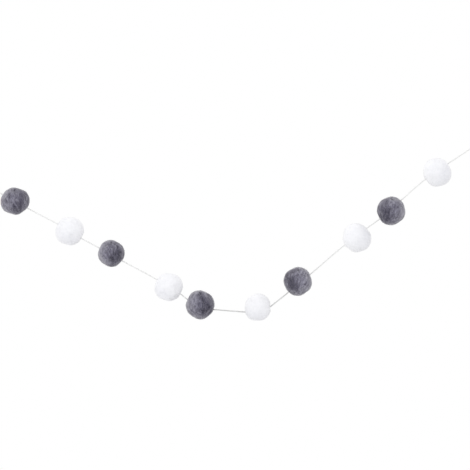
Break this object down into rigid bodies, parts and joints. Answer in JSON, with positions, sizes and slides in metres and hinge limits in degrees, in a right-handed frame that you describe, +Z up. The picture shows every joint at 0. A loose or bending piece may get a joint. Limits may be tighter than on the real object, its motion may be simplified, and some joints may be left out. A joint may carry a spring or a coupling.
{
  "type": "felt ball garland",
  "caption": "Garland of felted wool balls, grey and white in turn, spaced along one thin string with a knotted hanging loop at each end, draped in a shallow V.",
  "frame": {"origin": "the middle of the left loop's bend, where the nail or hook that holds the garland passes through", "axes": "+X along the garland from the left loop to the right one, +Z up, +Y away from the viewer, towards the wall that the garland hangs in front of; it hangs in the XZ plane"},
  "size_m": [0.49, 0.0256, 0.1775],
  "materials": {
    "grey_felt": "wet-felted wool, heathered grey with a violet cast, matt and slightly fuzzy",
    "white_felt": "wet-felted wool, white with a cool cast, matt and slightly fuzzy",
    "string": "thin plied cotton cord, off-white, matt"
  },
  "bodies": {
    "root": {"ball_01": "grey_felt", "ball_02": "white_felt", "ball_03": "grey_felt", "ball_04": "white_felt", "ball_05": "grey_felt", "ball_06": "white_felt", "ball_07": "grey_felt", "ball_08": "white_felt", "ball_09": "grey_felt", "ball_10": "white_felt", "string": "string", "left_loop": "string", "right_loop": "string"}
  },
  "joints": []
}
